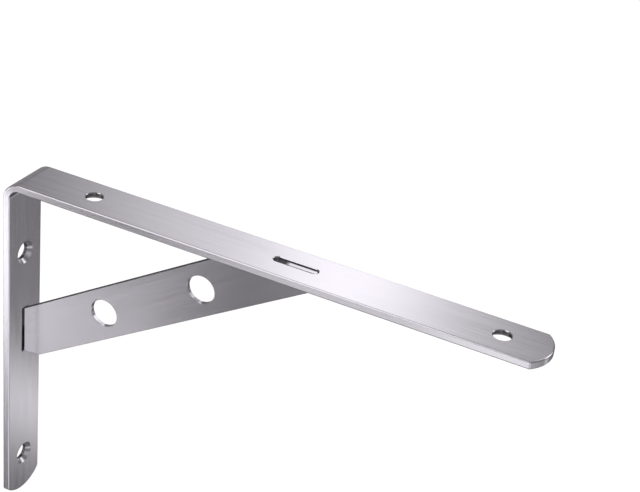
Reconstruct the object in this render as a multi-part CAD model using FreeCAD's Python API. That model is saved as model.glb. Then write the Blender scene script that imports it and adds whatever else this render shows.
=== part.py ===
import FreeCAD, Part
import math
import os

# A steel shelf bracket in two pieces: a flat bar folded once into an arm and a leg, and a flat brace
# plate that stands on edge between them, with a tongue let into a slot in each.
# Millimetres. +X runs out along the arm, +Y across the bar and +Z up. The origin lies on the wall
# plane, midway between the two wall screws and in the middle of the bar's width.
# A drop is measured down from the shelf plane, which is the arm's top, and a reach out from the wall.

# Folded bar
BAR_WIDTH = 29.0
BAR_THICKNESS = 4.2
ARM_REACH = 300.0
LEG_DROP = 211.0
BEND_INSIDE_RADIUS = 5.8
END_RADIUS = 20.0
END_CORNER_RADIUS = 1.2
BAR_EDGE_RADIUS = 0.7

# Screw holes, each countersunk on the side that faces into the corner
HOLE_DIAMETER = 9.2
SINK_DIAMETER = 13.6
SINK_ANGLE = 90.0
RIM_CHAMFER = 0.35
ARM_INNER_HOLE_REACH = 47.5
ARM_OUTER_HOLE_FROM_END = 25.2
LEG_UPPER_HOLE_DROP = 48.5
LEG_LOWER_HOLE_FROM_END = 24.8

# Brace plate
BRACE_THICKNESS = 2.7
BRACE_TOP_DROP = 84.15
BRACE_END_HEIGHT = 28.15
BRACE_TOP_ANGLE = 32.1
BRACE_BOTTOM_ANGLE = 31.75
BRACE_FOOT_LENGTH = 11.2
BRACE_FOOT_ANGLE = 6.5
BRACE_EDGE_RADIUS = 0.3
BRACE_HOLE_DIAMETER = 16.0
BRACE_HOLE_OFFSET = 14.8
BRACE_FIRST_HOLE = 57.9
BRACE_HOLE_SPACING = 68.0

# Tongues of the brace and the slots that take them
SLOT_WIDTH = 5.1
TONGUE_RECESS = 0.6
TONGUE_END_GAP = 0.3
ARM_TONGUE_LENGTH = 17.1
ARM_TONGUE_SETBACK = 10.5
ARM_SLOT_SPARE = 7.0
LEG_TONGUE_HEIGHT = 17.0

X_AXIS = FreeCAD.Vector(1, 0, 0)
Y_AXIS = FreeCAD.Vector(0, 1, 0)
Z_AXIS = FreeCAD.Vector(0, 0, 1)

HALF_WIDTH = BAR_WIDTH / 2
BEND_RADIUS = BEND_INSIDE_RADIUS + BAR_THICKNESS
ARM_OUTER_HOLE_REACH = ARM_REACH - ARM_OUTER_HOLE_FROM_END
LEG_LOWER_HOLE_DROP = LEG_DROP - LEG_LOWER_HOLE_FROM_END
SHELF_HEIGHT = (LEG_UPPER_HOLE_DROP + LEG_LOWER_HOLE_DROP) / 2


def at(x, y, z):
    return FreeCAD.Vector(x, y, z)


def slope(degrees):
    return math.tan(math.radians(degrees))


def plate(points, push):
    """A flat plate: the closed outline through the points, pushed along a vector."""
    return Part.Face(Part.makePolygon(points + points[:1])).extrude(push)


def tongue_corner_reach():
    """How far a slot's round end closes in beside a tongue of the brace's thickness."""
    radius = SLOT_WIDTH / 2
    return radius - math.sqrt(radius ** 2 - (BRACE_THICKNESS / 2) ** 2)


# Places on the brace, in the plane of its face: reach from the wall and height from the shelf plane

def foot_corner():
    reach = BAR_THICKNESS + BRACE_FOOT_LENGTH
    return reach, -BRACE_TOP_DROP - BRACE_END_HEIGHT + BRACE_FOOT_LENGTH * slope(BRACE_FOOT_ANGLE)


def top_reach_at_arm():
    return BAR_THICKNESS + (BRACE_TOP_DROP - BAR_THICKNESS) / slope(BRACE_TOP_ANGLE)


def bottom_reach_at_arm():
    corner_reach, corner_height = foot_corner()
    return corner_reach - (BAR_THICKNESS + corner_height) / slope(BRACE_BOTTOM_ANGLE)


def arm_tongue_span():
    """Reach of the arm tongue's two ends."""
    end = bottom_reach_at_arm() - ARM_TONGUE_SETBACK
    return end - ARM_TONGUE_LENGTH, end


def leg_tongue_span():
    """Heights of the leg tongue's lower and upper end; the lower one is the brace's own end."""
    low = -BRACE_TOP_DROP - BRACE_END_HEIGHT
    return low, low + LEG_TONGUE_HEIGHT


def brace_hole_centres():
    """The holes stand on a line beside the bottom edge, counted along it from above the foot's corner."""
    corner_reach, corner_height = foot_corner()
    turn = math.radians(BRACE_BOTTOM_ANGLE)
    start_reach = corner_reach - BRACE_HOLE_OFFSET * math.sin(turn)
    start_height = corner_height + BRACE_HOLE_OFFSET * math.cos(turn)
    runs = (BRACE_FIRST_HOLE, BRACE_FIRST_HOLE + BRACE_HOLE_SPACING)
    return [(start_reach + run * math.cos(turn), start_height + run * math.sin(turn)) for run in runs]


# Folded bar

def limb(length):
    """A flat limb along +X with its skin at z = 0, from the end of the bend to its arc-cut end."""
    shoulder = length - END_RADIUS + math.sqrt(END_RADIUS ** 2 - HALF_WIDTH ** 2)
    near, far = at(shoulder, -HALF_WIDTH, 0), at(shoulder, HALF_WIDTH, 0)
    root_near, root_far = at(BEND_RADIUS, -HALF_WIDTH, 0), at(BEND_RADIUS, HALF_WIDTH, 0)
    outline = [
        Part.LineSegment(root_near, near),
        Part.Arc(near, at(length, 0, 0), far),
        Part.LineSegment(far, root_far),
        Part.LineSegment(root_far, root_near),
    ]
    wire = Part.Wire([piece.toShape() for piece in outline])
    return Part.Face(wire).extrude(at(0, 0, -BAR_THICKNESS))


def bend():
    """A quarter ring that joins the two limbs."""
    centre = at(BEND_RADIUS, -HALF_WIDTH, -BEND_RADIUS)
    turn = FreeCAD.Rotation(X_AXIS, -90)
    ring = Part.makeCylinder(BEND_RADIUS, BAR_WIDTH).cut(Part.makeCylinder(BEND_INSIDE_RADIUS, BAR_WIDTH))
    ring.Placement = FreeCAD.Placement(centre, turn)
    corner = Part.makeBox(BEND_RADIUS, BAR_WIDTH, BEND_RADIUS, at(0, -HALF_WIDTH, -BEND_RADIUS))
    return ring.common(corner)


def corner_edges(solid):
    """The four short edges where the long sides meet the arc-cut ends."""
    return [
        edge for edge in solid.Edges
        if edge.Curve.TypeId == "Part::GeomLine" and abs(edge.Length - BAR_THICKNESS) < 0.01
    ]


def outline_edges(solid):
    """Every edge that runs round the bar's outline on either skin."""
    def runs_round(edge):
        if edge.Curve.TypeId != "Part::GeomLine":
            return True
        across = abs(edge.tangentAt(edge.FirstParameter).dot(Y_AXIS)) > 0.5
        return not across and edge.Length > 2 * BAR_THICKNESS
    return [edge for edge in solid.Edges if runs_round(edge)]


def screw_cutter(x, y, z, direction):
    """A drill with a countersink, from the skin at the given place through the bar along direction."""
    overrun = 1.0
    sink_depth = (SINK_DIAMETER - HOLE_DIAMETER) / 2 / slope(SINK_ANGLE / 2)
    start = at(x, y, z)
    drill = Part.makeCylinder(
        HOLE_DIAMETER / 2, BAR_THICKNESS + 2 * overrun, start - direction * overrun, direction
    )
    wide = SINK_DIAMETER / 2 + overrun * slope(SINK_ANGLE / 2)
    sink = Part.makeCone(
        HOLE_DIAMETER / 2, wide, sink_depth + overrun, start + direction * (BAR_THICKNESS - sink_depth), direction
    )
    return drill.fuse(sink)


def slot_cutter(start, end):
    """A round-ended slot along X through a limb whose skin is at z = 0."""
    radius = SLOT_WIDTH / 2
    depth = BAR_THICKNESS * 2
    base = -BAR_THICKNESS * 1.5
    body = Part.makeBox(end - start - SLOT_WIDTH, SLOT_WIDTH, depth, at(start + radius, -radius, base))
    for x in (start + radius, end - radius):
        body = body.fuse(Part.makeCylinder(radius, depth, at(x, 0, base)))
    return body.removeSplitter()


def arm_slot():
    margin = tongue_corner_reach() + TONGUE_END_GAP
    start, end = arm_tongue_span()
    return slot_cutter(start - ARM_SLOT_SPARE, end + margin)


def leg_slot():
    """The same slot, stood upright in the leg."""
    margin = tongue_corner_reach() + TONGUE_END_GAP
    low, high = leg_tongue_span()
    return upright(slot_cutter(-high - margin, -low + margin))


def upright(shape):
    """Turn a limb's shape from the arm's place to the leg's: along X becomes down, its skin faces the wall."""
    turned = shape.copy()
    turned.rotate(at(0, 0, 0), Y_AXIS, 90)
    return turned.mirror(at(0, 0, 0), X_AXIS)


def rim_edges(solid):
    """The rims of the holes and of the slot in the arm's top."""
    def is_rim(edge):
        box = edge.BoundBox
        level = abs(box.ZMin) < 0.001 and abs(box.ZMax) < 0.001
        return level and max(abs(box.YMin), abs(box.YMax)) <= HOLE_DIAMETER / 2 + 0.01
    return [edge for edge in solid.Edges if is_rim(edge)]


def folded_bar():
    bar = limb(ARM_REACH).fuse([upright(limb(LEG_DROP)), bend()]).removeSplitter()
    bar = bar.makeFillet(END_CORNER_RADIUS, corner_edges(bar))
    bar = bar.makeFillet(BAR_EDGE_RADIUS, outline_edges(bar))
    for reach in (ARM_INNER_HOLE_REACH, ARM_OUTER_HOLE_REACH):
        bar = bar.cut(screw_cutter(reach, 0, 0, -Z_AXIS))
    for drop in (LEG_UPPER_HOLE_DROP, LEG_LOWER_HOLE_DROP):
        bar = bar.cut(screw_cutter(0, 0, -drop, X_AXIS))
    bar = bar.cut(arm_slot()).cut(leg_slot())
    return bar.makeChamfer(RIM_CHAMFER, rim_edges(bar))


# Brace plate

def brace_face_edges(solid):
    """The edges of the brace's two broad faces."""
    def on_face(box):
        return box.YLength < 0.001 and abs(abs(box.YMin) - BRACE_THICKNESS / 2) < 0.001
    return [edge for edge in solid.Edges if on_face(edge.BoundBox)]


def brace_outline():
    """The brace's corners, round from its top at the leg."""
    arm_start, arm_end = arm_tongue_span()
    low, high = leg_tongue_span()
    under = -BAR_THICKNESS
    places = [
        (BAR_THICKNESS, -BRACE_TOP_DROP),
        (top_reach_at_arm(), under),
        (arm_start, under),
        (arm_start, -TONGUE_RECESS),
        (arm_end, -TONGUE_RECESS),
        (arm_end, under),
        (bottom_reach_at_arm(), under),
        foot_corner(),
        (BAR_THICKNESS, low),
        (TONGUE_RECESS, low),
        (TONGUE_RECESS, high),
        (BAR_THICKNESS, high),
    ]
    return [at(x, -BRACE_THICKNESS / 2, z) for x, z in places]


def brace_plate():
    brace = plate(brace_outline(), at(0, BRACE_THICKNESS, 0))
    for x, z in brace_hole_centres():
        hole = Part.makeCylinder(BRACE_HOLE_DIAMETER / 2, 2 * BRACE_THICKNESS, at(x, -BRACE_THICKNESS, z), Y_AXIS)
        brace = brace.cut(hole)
    return brace.removeSplitter().makeFillet(BRACE_EDGE_RADIUS, brace_face_edges(brace))


def export(name, shape):
    """Lift a piece from the shelf plane's height to the part's frame and write it."""
    placed = shape.copy()
    placed.translate(at(0, 0, SHELF_HEIGHT))
    placed.exportStep("parts/" + name + ".step")
    print(name, "valid", placed.isValid(), "solids", len(placed.Solids), "volume", round(placed.Volume, 1))


os.makedirs("parts", exist_ok=True)
export("folded_bar", folded_bar())
export("brace_plate", brace_plate())
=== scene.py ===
"""A shelf bracket of satin steel: a bar folded into an arm and a leg, and a brace plate between them."""

import logging
from dataclasses import dataclass
from enum import Enum
from math import atan2, cos, pi, radians, sin, sqrt, tan
from typing import Callable

import bpy
import numpy as np
from mathutils import Matrix, Vector


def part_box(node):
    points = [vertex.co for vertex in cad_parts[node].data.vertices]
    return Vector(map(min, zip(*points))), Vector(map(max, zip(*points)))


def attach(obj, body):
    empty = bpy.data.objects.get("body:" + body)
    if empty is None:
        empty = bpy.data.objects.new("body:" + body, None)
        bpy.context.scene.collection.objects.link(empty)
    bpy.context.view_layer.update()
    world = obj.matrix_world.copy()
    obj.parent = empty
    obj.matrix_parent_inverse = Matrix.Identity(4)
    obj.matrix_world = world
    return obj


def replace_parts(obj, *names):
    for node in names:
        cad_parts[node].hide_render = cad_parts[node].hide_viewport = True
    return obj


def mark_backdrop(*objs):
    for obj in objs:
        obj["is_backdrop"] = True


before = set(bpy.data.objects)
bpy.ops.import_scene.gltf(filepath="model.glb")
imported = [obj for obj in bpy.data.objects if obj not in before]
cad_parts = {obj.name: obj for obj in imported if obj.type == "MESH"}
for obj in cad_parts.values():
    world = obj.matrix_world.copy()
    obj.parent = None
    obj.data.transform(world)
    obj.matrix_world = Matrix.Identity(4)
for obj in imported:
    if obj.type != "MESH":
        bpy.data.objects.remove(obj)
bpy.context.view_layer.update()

LOG = logging.getLogger("shelf_bracket")
MILLIMETRE = 0.001

# The brushed map's name, and the names that a patch's wear and cut, its painted shade, have on the mesh too.
BRUSHED_MAP = "brushed"
WEAR = "worn"
CUT = "cut"

# Sizes that the bar and the plate share, in millimetres.
BAR_THICKNESS = 4.2
SLOT_RADIUS = 2.55

# Points that lie in the same step of this size are welded, in millimetres.
WELD = 1e-4

# How far in on the skin the drawn section of an edge starts and ends. Only its corners are kept.
LEAD_IN = 2.0

# The rows of points round an opening, as shares of the way from its rim to its cell's border.
RIM_SHARES = (0.0, 0.3, 1.0)

# The number of the plate's side on top of its tongue in the arm, which gets no painted shade and is as bright
# as the skins.
ARM_TONGUE_TOP = 3

Triple = tuple[float, float, float]
Placer = Callable[[np.ndarray, np.ndarray], tuple[np.ndarray, np.ndarray]]


class Polish(Enum):
    """How finely the steel was brushed: how many streaks lie side by side on a metre."""

    FINE = 1500.0
    MEDIUM = 1000.0


class NodeBoard:
    """A tree of shader nodes, wired by short calls."""

    def __init__(self, tree: bpy.types.NodeTree) -> None:
        """Clears the tree and keeps it."""
        self.tree = tree
        tree.nodes.clear()

    def wire(self, value: object, socket: bpy.types.NodeSocket) -> None:
        """Links a socket to another, or sets it to a plain value.

        Args:
            value: the socket to link from, or the value.
            socket: the input that takes it.
        """
        if isinstance(value, bpy.types.NodeSocket):
            self.tree.links.new(value, socket)
        else:
            socket.default_value = value

    def add(self, kind: str, settings: dict[str, object] | None = None, **inputs: object) -> bpy.types.Node:
        """Adds a node.

        Args:
            kind: the node's type, without its ShaderNode.
            settings: properties of the node itself.
            inputs: sockets or values for its inputs, an underscore in a name standing for a space.

        Returns:
            The node.
        """
        node = self.tree.nodes.new("ShaderNode" + kind)
        for key, value in (settings or {}).items():
            setattr(node, key, value)
        for key, value in inputs.items():
            self.wire(value, node.inputs[key.replace("_", " ")])
        return node

    def operate(self, kind: str, operation: str, values: tuple[object, ...]) -> bpy.types.Node:
        """Adds a node that works out one operation.

        Args:
            kind: Math or VectorMath.
            operation: the operation's name.
            values: sockets or values for its inputs, in order.

        Returns:
            The node.
        """
        node = self.add(kind, {"operation": operation})
        for socket, value in zip(node.inputs, values):
            self.wire(value, socket)
        return node

    def calc(self, operation: str, *values: object) -> bpy.types.NodeSocket:
        """One operation on numbers."""
        return self.operate("Math", operation, values).outputs[0]

    def vector(self, operation: str, *values: object) -> bpy.types.NodeSocket:
        """One operation on vectors, which gives a vector."""
        return self.operate("VectorMath", operation, values).outputs["Vector"]

    def dot(self, one: object, other: object) -> bpy.types.NodeSocket:
        """The dot product of two vectors."""
        return self.operate("VectorMath", "DOT_PRODUCT", (one, other)).outputs["Value"]

    def spread(self, value: bpy.types.NodeSocket, low: float, high: float) -> bpy.types.NodeSocket:
        """A value from 0 to 1, spread evenly from low to high."""
        return self.add("MapRange", Value=value, To_Min=low, To_Max=high).outputs["Result"]

    def smooth(self, value: bpy.types.NodeSocket, none: float, full: float) -> bpy.types.NodeSocket:
        """Runs smoothly from 0 where the value is none to 1 where it is full."""
        settings = {"interpolation_type": "SMOOTHSTEP"}
        return self.add("MapRange", settings, Value=value, From_Min=none, From_Max=full).outputs["Result"]

    def noise(self, place: bpy.types.NodeSocket, waves: Triple, detail: float) -> bpy.types.NodeSocket:
        """Noise over a place, with its waves to the metre along each part and its count of finer layers."""
        scaled = self.vector("MULTIPLY", place, waves)
        return self.add("TexNoise", Vector=scaled, Scale=1.0, Detail=detail, Roughness=0.6).outputs["Fac"]


@dataclass(frozen=True)
class PaintedShade:
    """A painted shade on the steel, in millimetres: full inside a box, and gone at a distance from it."""

    low: Triple
    high: Triple
    fade: float
    depth: float
    ceiling: float = 1000.0

    def factor(self, board: NodeBoard, spot: bpy.types.NodeSocket) -> bpy.types.NodeSocket:
        """Works out what the steel's tone is multiplied by.

        The distance d is the largest part of |place - middle| - half size. The dark runs smoothly from full
        at d = 0 to none at d = fade, and stops at the ceiling.

        Args:
            board: the finish's tree.
            spot: the place on the steel, in metres.

        Returns:
            A value from 1 - depth to 1.
        """
        low, high = np.array(self.low) * MILLIMETRE, np.array(self.high) * MILLIMETRE
        away = board.vector("ABSOLUTE", board.vector("SUBTRACT", spot, (low + high) / 2))
        past = board.add("SeparateXYZ", Vector=board.vector("SUBTRACT", away, (high - low) / 2))
        level = board.calc("MAXIMUM", past.outputs["X"], past.outputs["Y"])
        largest = board.calc("MAXIMUM", level, past.outputs["Z"])
        height = board.add("SeparateXYZ", Vector=spot).outputs["Z"]
        below = board.calc("LESS_THAN", height, self.ceiling * MILLIMETRE)
        dark = board.calc("MULTIPLY", board.smooth(largest, self.fade * MILLIMETRE, 0.0), below)
        return board.spread(dark, 1.0, 1.0 - self.depth)


@dataclass(frozen=True)
class SatinSteel:
    """Brushed stainless steel: fine long streaks, a soft variation of tone, edges rubbed bright, and painted
    shade.

    Lengths are in metres and waves to the metre. A band's waves are given to one wave of the hairs, along the
    brushing and across it.
    """

    name: str
    tone: Triple
    rubbed_tone: Triple
    polish: Polish
    cut_side_painted_shade: float = 0.75
    cut_roughness: float = 0.16
    rubbed_cover: float = 0.7
    rubbed_polish: float = 0.06
    roughness: float = 0.22
    roughness_variation: float = 0.1
    directionality: float = 0.6
    direction: float = 0.25
    streak_length: float = 0.035
    streak_depth: float = 1.6e-6
    streak_variation: float = 0.28
    hair_share: float = 0.6
    hair_detail: float = 3.0
    band_waves: tuple[float, float] = (0.3, 1 / 6)
    band_detail: float = 2.0
    cloud_waves: Triple = (22.0, 60.0, 22.0)
    cloud_variation: float = 0.04

    def streaks(self, board: NodeBoard) -> bpy.types.NodeSocket:
        """Makes the brushing: hairs and broad bands, as noise over the brushed map, stretched along it.

        Args:
            board: the finish's tree.

        Returns:
            Its height, from 0 to 1.
        """
        brushed = board.add("UVMap", {"uv_map": BRUSHED_MAP}).outputs["UV"]
        along, across = 1.0 / self.streak_length, self.polish.value
        band_along, band_across = self.band_waves
        hair = board.noise(brushed, (along, across, 0.0), self.hair_detail)
        band = board.noise(brushed, (band_along * along, band_across * across, 0.0), self.band_detail)
        hairs = board.calc("MULTIPLY", hair, self.hair_share)
        return board.calc("ADD", hairs, board.calc("MULTIPLY", band, 1.0 - self.hair_share))

    def brightness(
        self, board: NodeBoard, streak: bpy.types.NodeSocket, cut: bpy.types.NodeSocket,
        shades: tuple[PaintedShade, ...],
    ) -> bpy.types.NodeSocket:
        """Works out what the tone is multiplied by.

        Args:
            board: the finish's tree.
            streak: the brushing.
            cut: how much painted shade the cut sides put on the steel there.
            shades: the places on the piece where the steel is darker.

        Returns:
            The product of the factors for the brushing, the clouds, the cut sides' painted shade and each
            other painted shade.
        """
        spot = board.add("TexCoord").outputs["Object"]
        cloud = board.noise(spot, self.cloud_waves, self.band_detail)
        factors = [
            board.spread(streak, 1.0 - self.streak_variation, 1.0 + self.streak_variation),
            board.spread(cloud, 1.0 - self.cloud_variation, 1.0 + self.cloud_variation),
            board.spread(cut, 1.0, 1.0 - self.cut_side_painted_shade),
            *(shade.factor(board, spot) for shade in shades),
        ]
        product = factors[0]
        for factor in factors[1:]:
            product = board.calc("MULTIPLY", product, factor)
        return product

    def material(self, shades: tuple[PaintedShade, ...]) -> bpy.types.Material:
        """Makes the finish of one piece.

        The brushing varies the tone and the roughness and raises a bump. A broad noise over Object
        coordinates clouds the tone, and each painted shade darkens it in its place. Where the mesh marks a
        cut side, painted shade darkens the tone and raises the roughness; below 0 it is a painted highlight,
        which brightens the tone and lowers the roughness. Where it says that it is worn, the tone goes to the
        rubbed one and the roughness falls.

        Args:
            shades: the places on the piece where shade is painted on the steel.

        Returns:
            The material.
        """
        steel = bpy.data.materials.new(self.name)
        steel.use_nodes = True
        board = NodeBoard(steel.node_tree)
        worn, cut = (board.add("Attribute", {"attribute_name": name}).outputs["Fac"] for name in (WEAR, CUT))
        streak = self.streaks(board)
        bright = self.brightness(board, streak, cut, shades)
        plain = board.add("VectorMath", {"operation": "SCALE"}, Vector=self.tone, Scale=bright)
        tone = board.add(
            "Mix", {"data_type": "RGBA"}, Factor=board.calc("MULTIPLY", worn, self.rubbed_cover),
            A=plain.outputs["Vector"], B=(*self.rubbed_tone, 1.0),
        )
        swing = board.spread(streak, -self.roughness_variation, self.roughness_variation)
        dull = board.calc("ADD", swing, self.roughness)
        dull = board.calc("ADD", dull, board.calc("MULTIPLY", cut, self.cut_roughness))
        dull = board.calc("SUBTRACT", dull, board.calc("MULTIPLY", worn, self.rubbed_polish))
        bump = board.add("Bump", Height=streak, Distance=self.streak_depth, Strength=1.0)
        along = board.add("Tangent", {"direction_type": "UV_MAP", "uv_map": BRUSHED_MAP})
        shader = board.add(
            "BsdfPrincipled", Base_Color=tone.outputs["Result"], Metallic=1.0, Roughness=dull,
            Anisotropic=self.directionality, Anisotropic_Rotation=self.direction,
            Normal=bump.outputs["Normal"], Tangent=along.outputs["Tangent"],
        )
        out = board.add("OutputMaterial", Surface=shader.outputs["BSDF"])
        out.is_active_output = True
        return steel


@dataclass(frozen=True)
class Softbox:
    """A soft light far off, seen by the steel as an oval glow with a soft edge.

    It stands at an azimuth from +Y towards +X and an elevation, both in degrees, as its half sizes and tilt
    are. A strength below 0 takes light away from the others.
    """

    azimuth: float
    elevation: float
    half_width: float
    half_height: float
    strength: float
    softness: float = 0.6
    tilt: float = 0.0

    def axes(self) -> tuple[Vector, Vector, Vector]:
        """Works out the way to the glow and the two ways across it.

        Returns:
            Unit vectors towards its middle, along its width and along its height.
        """
        turn, rise, lean = radians(self.azimuth), radians(self.elevation), radians(self.tilt)
        middle = Vector((sin(turn) * cos(rise), cos(turn) * cos(rise), sin(rise)))
        level = Vector((cos(turn), -sin(turn), 0.0))
        upward = level.cross(middle)
        return middle, level * cos(lean) + upward * sin(lean), upward * cos(lean) - level * sin(lean)

    def glow(self, board: NodeBoard, look: bpy.types.NodeSocket) -> bpy.types.NodeSocket:
        """Works out how bright the glow is.

        It falls off smoothly round r = 1, where r is the root of (u/w)^2 + (v/h)^2, u and v are the parts of
        the direction looked in along the glow's width and height, and w and h are the sines of its half
        sizes. It counts only on its own side of the sky.

        Args:
            board: the world's tree.
            look: the direction looked in.

        Returns:
            The glow's share of the light from there.
        """
        middle, across, upward = self.axes()
        ways = ((across, self.half_width), (upward, self.half_height))
        sides = [board.calc("DIVIDE", board.dot(look, way), sin(radians(half))) for way, half in ways]
        squares = (board.calc("MULTIPLY", side, side) for side in sides)
        radius = board.calc("SQRT", board.calc("ADD", *squares))
        edge = board.smooth(radius, 1.0 + self.softness, 1.0 - self.softness)
        ahead = board.calc("GREATER_THAN", board.dot(look, middle), 0.0)
        return board.calc("MULTIPLY", board.calc("MULTIPLY", edge, ahead), self.strength)


# What the steel mirrors, sorted by the faces that show it to the camera.
ARM_TOP_GLOWS = (
    Softbox(-23.2, 32.5, 8.9, 16.1, 0.79, softness=0.48, tilt=-2.2),
    Softbox(-21.8, 32.3, 2.9, 16.2, 0.87, softness=0.69, tilt=20.6),
)
NEAR_SIDE_GLOWS = (
    Softbox(-144.0, -32.5, 13.0, 1.9, 1.68, softness=0.06, tilt=30.6),
    Softbox(-131.5, -27.9, 8.8, 6.0, 3.4, softness=0.05),
    Softbox(-162.0, -28.0, 8.4, 7.3, 0.93, softness=0.13, tilt=-2.1),
    Softbox(-168.4, -30.9, 3.9, 8.0, 1.02, softness=0.36),
)
LEG_FACE_GLOWS = (
    Softbox(36.1, -35.9, 15.7, 1.0, 1.72, softness=0.61, tilt=11.6),
    Softbox(62.0, -33.0, 14.0, 8.0, 0.22, softness=0.5),
    Softbox(36.0, -28.5, 16.0, 3.5, 0.1),
)
ARM_END_GLOWS = (
    Softbox(146.0, -33.5, 9.0, 8.0, 1.4),
    Softbox(125.0, -33.0, 55.0, 10.0, 0.45, softness=0.15),
    Softbox(135.0, 22.0, 32.0, 20.0, 0.45),
)
NEAR_EDGE_GLOWS = (
    Softbox(-138.0, 54.0, 13.0, 16.0, 1.7, softness=0.2),
    Softbox(-158.0, 12.0, 12.0, 24.0, 1.0, softness=0.4),
    Softbox(-138.0, 12.0, 12.0, 22.0, 0.4, softness=0.4),
    Softbox(-115.0, 0.0, 22.0, 14.0, 0.3),
)
BEND_GLOWS = (
    Softbox(-41.0, 6.0, 12.0, 22.0, 0.13),
    Softbox(2.0, -44.0, 22.0, 8.0, -0.07),
)
COUNTERSINK_GLOWS = (
    Softbox(10.0, 46.0, 17.0, 6.0, 1.15, softness=0.3),
    Softbox(30.0, 33.0, 11.0, 9.0, 1.4, softness=0.4),
    Softbox(48.0, 20.0, 12.0, 10.0, 1.6),
    Softbox(48.0, -6.0, 24.0, 9.0, 0.35),
)
GLOWS = (
    *ARM_TOP_GLOWS, *NEAR_SIDE_GLOWS, *LEG_FACE_GLOWS, *ARM_END_GLOWS, *NEAR_EDGE_GLOWS, *BEND_GLOWS,
    *COUNTERSINK_GLOWS,
)


@dataclass(frozen=True)
class Studio:
    """The pale floor, the soft light and the camera, in metres and degrees.

    The room is how bright the steel sees the studio between its glows, and the white how bright all else
    does. The camera is turned by its azimuth from looking along +Y, looks down by its elevation and leans to
    its right by its roll. The lens is in millimetres on Blender's own sensor.
    """

    floor_height: float = -1.5
    floor_half_side: float = 20.0
    floor_tone: float = 0.95
    room: float = 0.16
    room_tint: Triple = (1.011, 0.978, 1.038)
    white: float = 1.1
    camera_place: Triple = (0.41125, -0.56572, 0.47335)
    camera_azimuth: float = 22.465
    camera_elevation: float = 29.134
    camera_roll: float = 6.981
    camera_reach: float = 100.0
    lens: float = 80.99

    def floor(self) -> bpy.types.Object:
        """Lays the plain pale floor.

        Returns:
            The floor, which the steel doesn't mirror.
        """
        half = self.floor_half_side
        mesh = bpy.data.meshes.new("floor")
        corners = [(-half, -half), (half, -half), (half, half), (-half, half)]
        mesh.from_pydata([(x, y, self.floor_height) for x, y in corners], [], [(0, 1, 2, 3)])
        paint = bpy.data.materials.new("floor_paint")
        paint.use_nodes = True
        shader = paint.node_tree.nodes["Principled BSDF"]
        shader.inputs["Base Color"].default_value = (*[self.floor_tone] * 3, 1.0)
        shader.inputs["Roughness"].default_value = 1.0
        shader.inputs["Specular IOR Level"].default_value = 0.0
        mesh.materials.append(paint)
        plane = bpy.data.objects.new("floor", mesh)
        plane.visible_glossy = False
        bpy.context.scene.collection.objects.link(plane)
        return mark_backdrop(plane)

    def sky(self, softboxes: tuple[Softbox, ...]) -> bpy.types.World:
        """Makes the light: an even white, in which the steel mirrors a dim room with softboxes.

        Args:
            softboxes: the lights that the steel mirrors.

        Returns:
            The world.
        """
        world = bpy.data.worlds.new("studio")
        world.use_nodes = True
        board = NodeBoard(world.node_tree)
        look = board.add("TexCoord").outputs["Generated"]
        room = self.room
        for softbox in softboxes:
            room = board.calc("ADD", room, softbox.glow(board, look))
        lit = board.calc("MAXIMUM", room, 0.0)
        mirrored = board.add("Background", Color=(*self.room_tint, 1.0), Strength=lit)
        plain = board.add("Background", Color=(1.0, 1.0, 1.0, 1.0), Strength=self.white)
        choice = board.add("MixShader", Fac=board.add("LightPath").outputs["Is Glossy Ray"])
        board.wire(plain.outputs[0], choice.inputs[1])
        board.wire(mirrored.outputs[0], choice.inputs[2])
        board.add("OutputWorld", Surface=choice.outputs[0])
        bpy.context.scene.world = world
        bpy.context.scene.view_settings.view_transform = "Standard"
        return world

    def camera(self) -> bpy.types.Object:
        """Sets up the camera.

        Returns:
            The camera, which is the scene's own.
        """
        angles = (self.camera_azimuth, self.camera_elevation, self.camera_roll)
        turn, rise, lean = (radians(angle) for angle in angles)
        back = Vector((sin(turn) * cos(rise), -cos(turn) * cos(rise), sin(rise)))
        right = back.cross(Vector((0.0, 0.0, -1.0))).normalized()
        up = back.cross(right)
        columns = (right * cos(lean) + up * sin(lean), up * cos(lean) - right * sin(lean), back)
        data = bpy.data.cameras.new("camera")
        data.lens = self.lens
        data.clip_end = self.camera_reach
        camera = bpy.data.objects.new("camera", data)
        place = Matrix.Translation(self.camera_place)
        camera.matrix_world = place @ Matrix(columns).transposed().to_4x4()
        bpy.context.scene.collection.objects.link(camera)
        bpy.context.scene.camera = camera
        return camera


def unit(vectors: np.ndarray) -> np.ndarray:
    """Vectors along the last axis, brought to length one."""
    return vectors / np.linalg.norm(vectors, axis=-1, keepdims=True)


def walked(path: np.ndarray) -> np.ndarray:
    """How far along a path each of its points is."""
    lengths = np.linalg.norm(np.diff(path, axis=0), axis=1)
    return np.concatenate([[0.0], np.cumsum(lengths)])


def steps(start: float, end: float, spacing: float) -> np.ndarray:
    """Even steps from start to end, about spacing apart, with both ends among them."""
    return np.linspace(start, end, max(2, round(abs(end - start) / spacing) + 1))


def ruled(first: np.ndarray, last: np.ndarray, count: int) -> np.ndarray:
    """As many points as count, even and straight from first to last, or as many lines between two lines."""
    share = np.linspace(0.0, 1.0, count).reshape(-1, *[1] * first.ndim)
    return first + share * (last - first)


def joined(*lines: np.ndarray) -> np.ndarray:
    """Lines that each start where the one before ends, as one."""
    return np.concatenate([*(line[:-1] for line in lines[:-1]), lines[-1]])


def deepened(grid: np.ndarray, deep: np.ndarray) -> np.ndarray:
    """A grid of pairs, rows by columns, with each column's own third part added."""
    return np.concatenate([grid, np.broadcast_to(deep[None, :, None], (*grid.shape[:2], 1))], axis=2)


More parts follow.
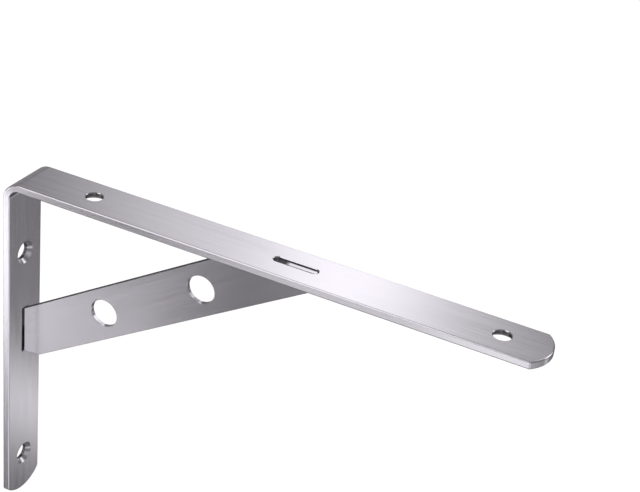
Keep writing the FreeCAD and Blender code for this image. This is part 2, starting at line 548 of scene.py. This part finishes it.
@dataclass(frozen=True)
class EdgeSection:
    """The section of a plate's edge: how far each of its points stands out and how deep it lies.

    places has a row (out, deep) for each point, counted from the outline's inset line and from the upper
    skin, and normals has the same rows for the way that the steel faces there. The side's painted shade is
    dark, 1 at the most and below 0 a painted highlight, and how rubbed the corners are is rubbed.
    """

    places: np.ndarray
    normals: np.ndarray
    dark: float
    rubbed: float

    @classmethod
    def rounded(
        cls, corners: list[tuple[float, float]], radius: float, turns: int, dark: float, rubbed: float,
    ) -> "EdgeSection":
        """Rounds the corners of a section that is drawn with straights.

        A straight that runs by (out, deep) faces (deep, -out). At a corner the facing swings evenly from
        that of one straight to that of the next, and the point lies at centre + radius * facing, on the
        circle that touches both.

        Args:
            corners: the section's corners, from a point on the upper skin to one on the lower skin.
            radius: the radius of every corner between the first and the last.
            turns: how many faces go round each corner.
            dark: how much painted shade the side gets, below 0 a painted highlight.
            rubbed: how rubbed the corners are.

        Returns:
            The section, from where it leaves the upper skin to where it meets the lower one.
        """
        drawn = np.array(corners)
        runs = unit(np.diff(drawn, axis=0))
        facing = np.stack([runs[:, 1], -runs[:, 0]], axis=1)
        before, after = facing[:-1, None], facing[1:, None]
        turn = np.arccos((before * after).sum(-1, keepdims=True))
        touch = drawn[1:-1, None] - runs[:-1, None] * radius * np.tan(turn / 2)
        share = np.linspace(0.0, 1.0, turns + 1)[None, :, None]
        swung = (np.sin((1 - share) * turn) * before + np.sin(share * turn) * after) / np.sin(turn)
        places = touch - radius * before + radius * swung
        return cls(places.reshape(-1, 2), swung.reshape(-1, 2), dark, rubbed)

    @classmethod
    def upright(
        cls, out: float, deep: float, radius: float, turns: int, dark: float, rubbed: float,
    ) -> "EdgeSection":
        """An upright side at out, as high as deep, with both its corners rounded."""
        drawn = [(out - LEAD_IN, 0.0), (out, 0.0), (out, deep), (out - LEAD_IN, deep)]
        return cls.rounded(drawn, radius, turns, dark, rubbed)

    def worn(self) -> np.ndarray:
        """How rubbed each point is: most in the middle of a rounded corner, and not beside it."""
        return self.rubbed * (1.0 - np.abs(np.abs(self.normals[:, 0]) - np.abs(self.normals[:, 1])))

    def cut(self) -> np.ndarray:
        """How much painted shade each point gets: all on the side, and less the more it faces as a skin does.
        """
        return self.dark * np.abs(self.normals[:, 0])


@dataclass(frozen=True)
class Patch:
    """A gridded surface: arrays, rows by columns, of points, facings, brushed map, wear and painted shade
    (cut).
    """

    points: np.ndarray
    normals: np.ndarray
    brushed: np.ndarray
    worn: np.ndarray
    cut: np.ndarray


@dataclass
class Blank:
    """A plate cut from flat stock, in millimetres: along it, across it and how deep below its upper skin."""

    thickness: float
    patches: list[Patch]

    def skins(self, upper: np.ndarray, lower: np.ndarray) -> None:
        """Adds the two skins over one region.

        Args:
            upper: the region's grid on the upper skin, rows by columns of (along, across).
            lower: the same on the lower skin.
        """
        for grid, deep, way in ((upper, 0.0, -1.0), (lower, self.thickness, 1.0)):
            level = np.ones(grid.shape[1])
            points = deepened(grid, deep * level)
            normals = deepened(np.zeros_like(grid), way * level)
            plain = np.zeros(grid.shape[:2])
            self.patches.append(Patch(points, normals, grid, plain, plain))

    def edge(self, base: np.ndarray, lean: np.ndarray, facing: np.ndarray, section: EdgeSection) -> None:
        """Carries an edge section along a path.

        A point lies at base + out * lean, at the section's depth, and faces (section's out part) * facing
        with the section's depth part.

        Args:
            base: the path's points on the inset line, as (along, across).
            lean: the way out at each, longer than one where two straights meet at a mitre.
            facing: the unit way out of the side at each.
            section: the edge's section.
        """
        out, deep = section.places.T
        flat = base[:, None] + out[None, :, None] * lean[:, None]
        side = section.normals[None, :, :1] * facing[:, None]
        points, normals = deepened(flat, deep), deepened(side, section.normals[:, 1])
        lengths = walked(base + out.min() * lean), walked(section.places)
        brushed = np.stack(np.meshgrid(*lengths, indexing="ij"), axis=2)
        worn, cut = (np.broadcast_to(row, flat.shape[:2]) for row in (section.worn(), section.cut()))
        self.patches.append(Patch(points, normals, brushed, worn, cut))

    def opening(self, border: np.ndarray, anchors: np.ndarray, section: EdgeSection) -> None:
        """Adds the skins round an opening, and its wall.

        The wall's point at radius r lies at anchor + r * (unit way from the anchor to the border's point),
        and the skin runs straight from there to the border.

        Args:
            border: a closed loop round the opening, its first point again at its end.
            anchors: the opening's middle for each of them, or the nearest point of a slot's middle line.
            section: the wall's section, whose out is minus the radius.
        """
        away = unit(border - anchors)
        share = np.array(RIM_SHARES)[None, :, None]
        rims = [anchors - away * section.places[end, 0] for end in (0, -1)]
        upper, lower = (rim[:, None] + share * (border - rim)[:, None] for rim in rims)
        self.skins(upper, lower)
        self.edge(anchors, -away, -away, section)

    def gathered(self, part: str) -> np.ndarray:
        """One part of every patch, as the rows of one array."""
        grids = (getattr(patch, part) for patch in self.patches)
        return np.concatenate([grid.reshape(-1, *grid.shape[2:]) for grid in grids])

    def faces(self) -> np.ndarray:
        """Counts the corners of every cell of every patch's grid.

        Returns:
            Rows of four numbers, each the row of a point in what is gathered.
        """
        found, start = [], 0
        for patch in self.patches:
            rows, columns = patch.points.shape[:2]
            index = start + np.arange(rows * columns).reshape(rows, columns)
            loop = (index[:-1, :-1], index[1:, :-1], index[1:, 1:], index[:-1, 1:])
            found.append(np.stack(loop, axis=2).reshape(-1, 4))
            start += rows * columns
        return np.concatenate(found)

    def mesh(self, name: str, place: Placer) -> bpy.types.Mesh:
        """Puts the plate in its place and welds its patches into one closed mesh.

        A face whose corners run the wrong way round, by the cross product of its diagonals, is turned over.

        Args:
            name: the mesh's name.
            place: takes points and facings on the blank to points and facings on the part, in millimetres.

        Returns:
            The mesh, in metres, with its facings, its brushed map, its wear and its cut, the painted shade.
        """
        quads = self.faces()
        points, normals = place(self.gathered("points"), self.gathered("normals"))
        diagonals = points[quads[:, 2]] - points[quads[:, 0]], points[quads[:, 3]] - points[quads[:, 1]]
        inward = (np.cross(*diagonals) * normals[quads].sum(1)).sum(1) < 0
        quads[inward] = quads[inward][:, ::-1]
        marks = np.round(points / WELD)
        _, kept, welded = np.unique(marks, axis=0, return_index=True, return_inverse=True)
        mesh = bpy.data.meshes.new(name)
        mesh.from_pydata(points[kept] * MILLIMETRE, [], welded.reshape(-1)[quads])
        mesh.polygons.foreach_set("use_smooth", np.ones(len(quads), bool))
        brushed = self.gathered("brushed")[quads.ravel()] * MILLIMETRE
        mesh.uv_layers.new(name=BRUSHED_MAP).data.foreach_set("uv", brushed.ravel())
        for look in (WEAR, CUT):
            values = self.gathered(look)[kept].astype(np.float32)
            mesh.attributes.new(look, "FLOAT", "POINT").data.foreach_set("value", values)
        mesh.normals_split_custom_set(normals[quads.ravel()])
        return mesh


def dressed(
    mesh: bpy.types.Mesh, node: str, finish: SatinSteel, shades: tuple[PaintedShade, ...],
) -> bpy.types.Object:
    """Makes a mesh the piece that stands for a solid of the frame.

    Args:
        mesh: the piece's shape, in its place.
        node: the solid's name.
        finish: the steel it is made of, whose name the material takes.
        shades: the places on it where shade is painted on the steel.

    Returns:
        The piece.
    """
    piece = bpy.data.objects.new(mesh.name, mesh)
    bpy.context.scene.collection.objects.link(piece)
    mesh.materials.append(finish.material(shades))
    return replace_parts(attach(piece, "root"), node) or piece


@dataclass(frozen=True)
class BracePlate:
    """The thin plate that stands on edge between the leg and the arm, with two round holes and two tongues.

    On its blank, along is the run of its lower edge and across is square to it. Its heights are counted down
    from the shelf and its reaches out from the wall. The slots that hold its tongues are worked out here
    too, with the painted contact shadows on the bar along its two ends, of which half is half the width,
    and the shade painted on the plate under the arm. Rows are counts of points along a line.
    """

    finish: SatinSteel
    shelf: float
    thickness: float = 2.7
    top_drop: float = 84.15
    end_height: float = 28.15
    top_angle: float = 32.1
    bottom_angle: float = 31.75
    foot_length: float = 11.2
    foot_angle: float = 6.5
    edge_radius: float = 0.3
    edge_turns: int = 4
    hole_radius: float = 8.0
    hole_offset: float = 14.8
    hole_runs: tuple[float, float] = (57.9, 125.9)
    cell_margin: float = 4.2
    recess: float = 0.6
    arm_tongue_length: float = 17.1
    arm_tongue_setback: float = 10.5
    leg_tongue_height: float = 17.0
    slot_gap: float = 0.3
    arm_slot_spare: float = 7.0
    # How much the holes' walls are brightened, a painted highlight, given below 0 as a section's dark.
    hole_painted_highlight: float = -0.6
    # The shade painted on the plate under the arm: where it is full, how it fades and how dark it is.
    arm_shade_reach: float = 150.0
    arm_shade_fade: float = 80.0
    arm_shade_depth: float = 0.55
    # The painted contact shadows on the bar: how far they reach through its faces, and each one's half width,
    # fade and depth.
    shadow_through: float = 0.5
    leg_shadow_half: float = 2.2
    leg_shadow_fade: float = 0.8
    leg_shadow_depth: float = 0.95
    arm_shadow_half: float = 1.35
    arm_shadow_fade: float = 1.3
    arm_shadow_depth: float = 0.9
    cross_rows: int = 25
    leg_rows: tuple[int, int] = (15, 11)
    arm_rows: tuple[int, int, int] = (7, 9, 11)
    cell_rows: int = 9
    hole_rows: int = 21
    last_rows: int = 15
    tongue_rows: int = 5

    def foot(self) -> tuple[float, float]:
        """Where the short foot at the leg ends and the long lower edge starts, as (reach, height)."""
        rise = self.foot_length * tan(radians(self.foot_angle))
        return BAR_THICKNESS + self.foot_length, rise - self.top_drop - self.end_height

    def arm_run(self) -> tuple[float, float]:
        """Works out where the plate touches the arm.

        Returns:
            The reach where its upper edge meets the arm's underside, and where its lower edge does.
        """
        reach, height = self.foot()
        start = BAR_THICKNESS + (self.top_drop - BAR_THICKNESS) / tan(radians(self.top_angle))
        return start, reach - (BAR_THICKNESS + height) / tan(radians(self.bottom_angle))

    def tongue_run(self) -> tuple[float, float]:
        """The reaches where the tongue in the arm starts and ends."""
        end = self.arm_run()[1] - self.arm_tongue_setback
        return end - self.arm_tongue_length, end

    def slots(self) -> tuple[tuple[float, float], tuple[float, float]]:
        """Works out the slots that hold the tongues.

        A slot's round end, of radius r, clears a tongue of half thickness h by the gap at the tongue's
        corners, so it reaches gap + r - the root of (r^2 - h^2) past the tongue. The arm's slot has room to
        spare towards the bend.

        Returns:
            Where the arm's slot starts and ends, out from the wall, and the leg's, down from the shelf.
        """
        past = self.slot_gap + SLOT_RADIUS - sqrt(SLOT_RADIUS ** 2 - (self.thickness / 2) ** 2)
        start, end = self.tongue_run()
        low = self.top_drop + self.end_height
        return (start - self.arm_slot_spare, end + past), (low - self.leg_tongue_height - past, low + past)

    def painted_contact_shadows(self) -> tuple[PaintedShade, PaintedShade]:
        """Works out the painted contact shadows, thin dark lines on the bar along the plate's two ends.

        Returns:
            The one on the leg and the one under the arm, each a thin box through the face that the end
            stands on.
        """
        through, under, top = self.shadow_through, self.shelf - BAR_THICKNESS, self.shelf - self.top_drop
        start, end = self.arm_run()
        leg_low = (BAR_THICKNESS - through, -self.leg_shadow_half, top - self.end_height)
        leg_high = (BAR_THICKNESS + through, self.leg_shadow_half, top)
        arm_low = (start, -self.arm_shadow_half, under - through)
        arm_high = (end, self.arm_shadow_half, under + through)
        on_leg = PaintedShade(leg_low, leg_high, self.leg_shadow_fade, self.leg_shadow_depth)
        return on_leg, PaintedShade(arm_low, arm_high, self.arm_shadow_fade, self.arm_shadow_depth)

    def shade_painted_under_arm(self) -> PaintedShade:
        """Works out the shade painted on the plate towards its end under the arm.

        Returns:
            A painted shade all across the plate from its reach on, which leaves the tongue in the arm's
            slot as it is.
        """
        all_round = 2 * self.arm_shade_reach
        low, high = (self.arm_shade_reach, -all_round, -all_round), (all_round, all_round, all_round)
        return PaintedShade(low, high, self.arm_shade_fade, self.arm_shade_depth, ceiling=self.shelf - BAR_THICKNESS)

    def turned(self, points: np.ndarray, way: float) -> np.ndarray:
        """Places or ways in its plane, turned by the lower edge's angle: way 1 from level and -1 back."""
        angle = radians(self.bottom_angle) * way
        return points @ np.array([[cos(angle), -sin(angle)], [sin(angle), cos(angle)]])

    def stand(self, points: np.ndarray, facing: np.ndarray) -> tuple[np.ndarray, np.ndarray]:
        """Takes the blank to the plate that stands under the arm, with its upper skin on the near side.

        Args:
            points: rows of (along, across, deep).
            facing: rows of facings on the blank.

        Returns:
            Points and facings on the part.
        """
        reach, height = self.turned(points[:, :2], -1.0).T
        out, up = self.turned(facing[:, :2], -1.0).T
        placed = np.stack([reach, points[:, 2] - self.thickness / 2, height + self.shelf], axis=1)
        return placed, np.stack([out, facing[:, 2], up], axis=1)

    def corners(self) -> np.ndarray:
        """The plate's corners on its blank, round from its top at the leg and clockwise.

        Returns:
            Twelve rows of (along, across).
        """
        face, low = BAR_THICKNESS, -self.top_drop - self.end_height
        high = low + self.leg_tongue_height
        top, bottom = self.arm_run()
        start, end = self.tongue_run()
        places = [
            (face, -self.top_drop), (top, -face), (start, -face), (start, -self.recess), (end, -self.recess),
            (end, -face), (bottom, -face), self.foot(), (face, low), (self.recess, low), (self.recess, high),
            (face, high),
        ]
        return self.turned(np.array(places), 1.0)

    def section(self, out: float, dark: float, rubbed: float) -> EdgeSection:
        """The rounded edge of the outline or of a hole, whose side stands at out."""
        return EdgeSection.upright(out, self.thickness, self.edge_radius, self.edge_turns, dark, rubbed)

    def crossing(self, start: np.ndarray, way: np.ndarray, upper: np.ndarray) -> np.ndarray:
        """Works out a line across the plate.

        It runs to where start + up * way meets first + run * (last - first), the upper edge.

        Args:
            start: its point on the lower edge.
            way: the way it runs.
            upper: the upper edge's two ends.

        Returns:
            Even points from the lower edge to the upper.
        """
        first, last = upper
        up = np.linalg.solve(np.stack([way, first - last], axis=1), first - start)[0]
        return ruled(start, start + up * way, self.cross_rows)

    def sides(self, blank: Blank, inset: np.ndarray) -> list[np.ndarray]:
        """Lays the plate's skins and holes, in cells between lines that cross it.

        Args:
            blank: the plate's blank.
            inset: the corners of the outline's inset line, in the order of the plate's corners.

        Returns:
            The points that the skins have along each side of the inset line, round from the upper edge.
        """
        (
            leg_top, arm_start, tongue_start, tongue_start_top, tongue_end_top, tongue_end,
            arm_end, foot_end, leg_low, slot_low, slot_high, shoulder,
        ) = inset
        upper_edge = np.stack([leg_top, arm_start])
        square = np.array([0.0, 1.0])
        foot_corner = self.turned(np.array(self.foot()), 1.0)
        tongue, above = self.leg_rows
        beyond, width, before = self.arm_rows
        leg_tongue = ruled(leg_low, shoulder, tongue)
        leg_shoulder = ruled(shoulder, leg_top, above)
        arm_tongue = ruled(tongue_end, tongue_start, width)
        arm_shoulders = ruled(arm_end, tongue_end, beyond), ruled(tongue_start, arm_start, before)
        at_foot = self.crossing(foot_end, self.turned(square, 1.0), upper_edge)
        foot = ruled(joined(leg_tongue, leg_shoulder), at_foot, self.cell_rows)
        low_tongue = ruled(ruled(slot_low, slot_high, tongue), leg_tongue, self.tongue_rows)
        high_tongue = ruled(arm_tongue, ruled(tongue_end_top, tongue_start_top, width), self.tongue_rows)
        plain, lower, upper, reached = [foot, low_tongue, high_tongue], [], [foot[:, -1]], at_foot
        half = self.hole_radius + self.cell_margin
        for run in self.hole_runs:
            centre = foot_corner + np.array([run, self.hole_offset])
            starts = (np.array([centre[0] + way * half, foot_end[1]]) for way in (-1.0, 1.0))
            near, far = (self.crossing(start, square, upper_edge) for start in starts)
            cell = ruled(reached, near, self.cell_rows)
            low, high = (ruled(near[end], far[end], self.hole_rows) for end in (0, -1))
            loop = joined(low, far, high[::-1], near[::-1])
            # The holes' walls get a painted highlight, which brightens their tone, and no painted shade.
            wall = self.section(-self.hole_radius, self.hole_painted_highlight, 1.0)
            blank.opening(loop, np.broadcast_to(centre, loop.shape), wall)
            plain.append(cell)
            lower += [cell[:, 0], low]
            upper += [cell[:, -1], high]
            reached = far
        last = ruled(reached, joined(arm_shoulders[0], arm_tongue, arm_shoulders[1]), self.last_rows)
        plain.append(last)
        for grid in plain:
            blank.skins(grid, grid)
        return [
            joined(*upper, last[:, -1]), arm_shoulders[1][::-1], high_tongue[:, -1], high_tongue[-1, ::-1],
            high_tongue[::-1, 0], arm_shoulders[0][::-1], joined(*lower, last[:, 0])[::-1], foot[::-1, 0],
            low_tongue[::-1, 0], low_tongue[0], low_tongue[:, -1], leg_shoulder,
        ]

    def build(self) -> bpy.types.Object:
        """Builds the plate: its cells, and its edge round the outline, mitred at each corner.

        Where two sides that face f and g meet, the edge leans out by (f + g) / (1 + f . g).

        Returns:
            The plate, which the bar doesn't mirror.
        """
        blank = Blank(self.thickness, [])
        corners = self.corners()
        run = unit(np.roll(corners, -1, axis=0) - corners)
        facing = np.stack([-run[:, 1], run[:, 0]], axis=1)
        before = np.roll(facing, 1, axis=0)
        lean = (before + facing) / (1.0 + (before * facing).sum(1, keepdims=True))
        sides = self.sides(blank, corners - self.edge_radius * lean)
        for index, base in enumerate(sides):
            side = np.broadcast_to(facing[index], base.shape)
            leaning = side.copy()
            leaning[0], leaning[-1] = lean[index], lean[(index + 1) % len(lean)]
            # Every side of the outline gets painted shade, except the top of the tongue in the arm.
            dark = 0.0 if index == ARM_TONGUE_TOP else 1.0
            blank.edge(base, leaning, side, self.section(self.edge_radius, dark, 0.0))
        mesh = blank.mesh("brace_plate_steel", self.stand)
        # The plate gets a painted shade towards its end under the arm.
        plate = dressed(mesh, "brace_plate", self.finish, (self.shade_painted_under_arm(),))
        # Mirrored in the bar, the plate would draw a dark band along it, which the real bracket doesn't show.
        plate.visible_glossy = False
        return plate


@dataclass(frozen=True)
class FoldedBar:
    """The flat bar, folded into the level arm and the upright leg.

    On its blank, along is 0 where the bend leaves the leg, across is 0 in the middle and deep is 0 on the
    skin that turns outwards, which faces the wall and then the shelf. Steps are the spacing of points along
    it.
    """

    finish: SatinSteel
    brace: BracePlate
    reach: float
    drop: float
    width: float = 29.0
    bend_radius: float = 10.0
    end_radius: float = 20.0
    end_corner_radius: float = 1.2
    edge_radius: float = 0.7
    edge_turns: int = 6
    lip_radius: float = 0.12
    lip_turns: int = 3
    lip_chamfer: float = 0.35
    bore_radius: float = 4.6
    sink_radius: float = 6.8
    arm_holes: tuple[float, float] = (47.5, 274.8)
    leg_holes: tuple[float, float] = (48.5, 186.2)
    cell_margin: float = 12.5
    cap_length: float = 11.2
    opening_step: float = 1.2
    bend_step: float = 0.5
    plain_step: float = 4.0
    cap_rows: int = 9
    arc_rows: int = 29
    corner_rows: int = 5

    def unfolded(self, distance: float, on_arm: bool) -> float:
        """Where a distance from the corner, out along the arm or down the leg, lies along the blank."""
        flat = distance - self.bend_radius
        return flat + self.bend_radius * pi / 2 if on_arm else -flat

    def fold(self, points: np.ndarray, facing: np.ndarray) -> tuple[np.ndarray, np.ndarray]:
        """Takes the blank to the folded bar.

        Before the bend the blank stands upright and after it lies level. In it, the point at angle t lies at
        middle + (radius - deep) * (-cos t, sin t), with t the way along divided by the radius.

        Args:
            points: rows of (along, across, deep).
            facing: rows of facings on the blank.

        Returns:
            Points and facings on the bar.
        """
        along, across, deep = points.T
        length = self.bend_radius * pi / 2
        turn = np.clip(along, 0.0, length) / self.bend_radius
        past = along - np.clip(along, 0.0, length)
        run = np.stack([np.sin(turn), np.cos(turn)])
        inward = np.stack([np.cos(turn), -np.sin(turn)])
        middle = np.array([[self.bend_radius], [-self.bend_radius]])
        x, z = middle - inward * (self.bend_radius - deep) + run * past
        normal_x, normal_z = run * facing[:, 0] + inward * facing[:, 2]
        placed = np.stack([x, across, z + self.brace.shelf], axis=1)
        return placed, np.stack([normal_x, facing[:, 1], normal_z], axis=1)

    def end_line(self) -> tuple[np.ndarray, np.ndarray]:
        """The outline of an end, inset by the edge's radius, in the middle of which a large arc is cut.

        A point lies at centre + (radius - inset) * (cos a, sin a). The angle a runs from -90 to 90 degrees,
        and the centre and radius are the small corner's while a is beyond the angle where it touches the
        large arc.

        Returns:
            The points, counted along from the large arc's centre, and the facings.
        """
        small = self.width / 2 - self.end_corner_radius
        reach = sqrt((self.end_radius - self.end_corner_radius) ** 2 - small ** 2)
        touch = atan2(small, reach)
        arc = np.linspace(-touch, touch, self.arc_rows)
        corner = np.linspace(touch, pi / 2, self.corner_rows)
        angle = np.concatenate([-corner[::-1], arc[1:-1], corner])
        beyond = np.abs(angle) > (arc[-2] + touch) / 2
        radius = np.where(beyond, self.end_corner_radius, self.end_radius) - self.edge_radius
        facing = np.stack([np.cos(angle), np.sin(angle)], axis=1)
        corner_centre = np.stack([np.full_like(angle, reach), small * np.sign(angle)], axis=1)
        centre = np.where(beyond[:, None], corner_centre, 0.0)
        return centre + radius[:, None] * facing, facing

    def outer_section(self) -> EdgeSection:
        """The bar's rounded outer edge, rubbed and without painted shade."""
        radius, turns = self.edge_radius, self.edge_turns
        return EdgeSection.upright(radius, BAR_THICKNESS, radius, turns, 0.0, 1.0)

    def wall_section(self, wall: float, rim: list[tuple[float, float]], on_arm: bool) -> EdgeSection:
        """Draws an opening's wall, which has a broken upper rim on the arm and a plain one on the leg.

        Args:
            wall: where the wall stands out, which is minus its radius.
            rim: its corners at the lower skin, as (out, deep).
            on_arm: whether the opening is in the arm.

        Returns:
            The wall's section.
        """
        broken = [(wall - self.lip_chamfer, 0.0), (wall, self.lip_chamfer)]
        lead = rim[-1][0] - LEAD_IN
        corners = [(lead, 0.0), *(broken if on_arm else [(wall, 0.0)]), *rim, (lead, BAR_THICKNESS)]
        # The wall gets the full painted shade, and its corners are rubbed.
        return EdgeSection.rounded(corners, self.lip_radius, self.lip_turns, 1.0, 1.0)

    def openings(self) -> list[tuple[float, float, EdgeSection]]:
        """Every opening along the blank: the screw holes, with their countersinks, and the slots.

        Returns:
            For each, where its middle line starts and ends and its wall's section, from the leg's end to the
            arm's.
        """
        bore, sink, slot_wall = -self.bore_radius, -self.sink_radius, -SLOT_RADIUS
        countersink = [(bore, BAR_THICKNESS + sink - bore), (sink, BAR_THICKNESS)]
        arm_slot, leg_slot = self.brace.slots()
        found = []
        for on_arm, holes, slot in ((False, self.leg_holes, leg_slot), (True, self.arm_holes, arm_slot)):
            for hole in holes:
                place = self.unfolded(hole, on_arm)
                found.append((place, place, self.wall_section(bore, countersink, on_arm)))
            low, high = sorted(self.unfolded(end, on_arm) for end in slot)
            wall = self.wall_section(slot_wall, [(slot_wall, BAR_THICKNESS)], on_arm)
            found.append((low + SLOT_RADIUS, high - SLOT_RADIUS, wall))
        return sorted(found, key=lambda item: item[0])

    def border(self, low: float, high: float, across: np.ndarray) -> tuple[np.ndarray, np.ndarray]:
        """The closed border of a cell between two places along the bar.

        Args:
            low: where the cell starts.
            high: where it ends.
            across: the places across that every cell's ends have.

        Returns:
            The border's loop and the places along that its two long sides have.
        """
        along = steps(low, high, self.opening_step)
        level = np.full_like(along, across[-1])
        near, far = (np.stack([along, hand * level], axis=1) for hand in (-1.0, 1.0))
        start, end = (np.stack([np.full_like(across, line), across], axis=1) for line in (low, high))
        return joined(near, end, far[::-1], start[::-1]), along

    def cap(self, blank: Blank, line: float, way: float) -> None:
        """Closes one end: skins between a straight line across and the end's outline, and its edge.

        Args:
            blank: the bar's blank.
            line: where the straight line lies.
            way: 1 at the arm's end, -1 at the leg's.
        """
        end, facing = self.end_line()
        flip = np.array([way, 1.0])
        curve, side = end * flip, facing * flip
        curve[:, 0] += self.unfolded(self.reach if way > 0 else self.drop, way > 0) - way * self.end_radius
        straight = np.stack([np.full(len(curve), line), curve[:, 1]], axis=1)
        grid = ruled(straight, curve, self.cap_rows)
        blank.skins(grid, grid)
        blank.edge(curve, side, side, self.outer_section())
        self.long_edges(blank, grid[:, 0, 0])

    def long_edges(self, blank: Blank, along: np.ndarray) -> None:
        """Carries the outer edge along both sides.

        Args:
            blank: the bar's blank.
            along: the places along that the edge's points have.
        """
        for hand in (-1.0, 1.0):
            base = np.stack([along, np.full_like(along, hand * (self.width / 2 - self.edge_radius))], axis=1)
            way_out = np.broadcast_to(np.array([0.0, hand]), base.shape)
            blank.edge(base, way_out, way_out, self.outer_section())

    def build(self) -> bpy.types.Object:
        """Builds the bar from cells: plain ones, one round each opening, the bend and a cap at each end.

        Returns:
            The bar.
        """
        blank = Blank(BAR_THICKNESS, [])
        across = self.end_line()[0][:, 1]
        margin = self.cell_margin
        leg_cap = self.unfolded(self.drop, False) + self.cap_length
        arm_cap = self.unfolded(self.reach, True) - self.cap_length
        cells = {start - margin: (start, stop, wall) for start, stop, wall in self.openings()}
        marks = [leg_cap, 0.0, self.bend_radius * pi / 2, arm_cap, *cells]
        marks += [stop + margin for _, stop, _ in cells.values()]
        marks.sort()
        path = []
        for low, high in zip(marks[:-1], marks[1:]):
            if low in cells:
                start, stop, wall = cells[low]
                loop, along = self.border(low, high, across)
                anchors = np.stack([np.clip(loop[:, 0], start, stop), np.zeros(len(loop))], axis=1)
                blank.opening(loop, anchors, wall)
            else:
                along = steps(low, high, self.bend_step if low == 0.0 else self.plain_step)
                grid = np.stack(np.meshgrid(along, across, indexing="ij"), axis=2)
                blank.skins(grid, grid)
            path.append(along)
        self.long_edges(blank, joined(*path))
        for line, way in ((leg_cap, -1.0), (arm_cap, 1.0)):
            self.cap(blank, line, way)
        mesh = blank.mesh("folded_bar_steel", self.fold)
        # The bar gets painted contact shadows along the plate's two ends.
        return dressed(mesh, "folded_bar", self.finish, self.brace.painted_contact_shadows())


BAR_STEEL = SatinSteel("bar_steel", (0.655, 0.65, 0.664), (0.87, 0.86, 0.88), Polish.FINE)
# The brace is another plate, and its tone is darker than the bar's in part as painted shade; its cut sides
# take more painted shade.
BRACE_STEEL = SatinSteel(
    "brace_steel", (0.594, 0.59, 0.606), (0.8, 0.79, 0.81), Polish.MEDIUM, cut_side_painted_shade=0.9,
)


def main() -> None:
    """Builds the pieces in order, then the studio."""
    logging.basicConfig(level=logging.INFO)
    low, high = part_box("folded_bar")
    shelf, reach, drop = (size / MILLIMETRE for size in (high.z, high.x, high.z - low.z))
    brace = BracePlate(BRACE_STEEL, shelf)
    bar = FoldedBar(BAR_STEEL, brace, reach, drop)
    for piece in (bar.build(), brace.build()):
        LOG.info("%s: %d faces", piece.name, len(piece.data.polygons))
    studio = Studio()
    studio.floor()
    studio.sky(GLOWS)
    studio.camera()


if __name__ == "__main__":
    main()
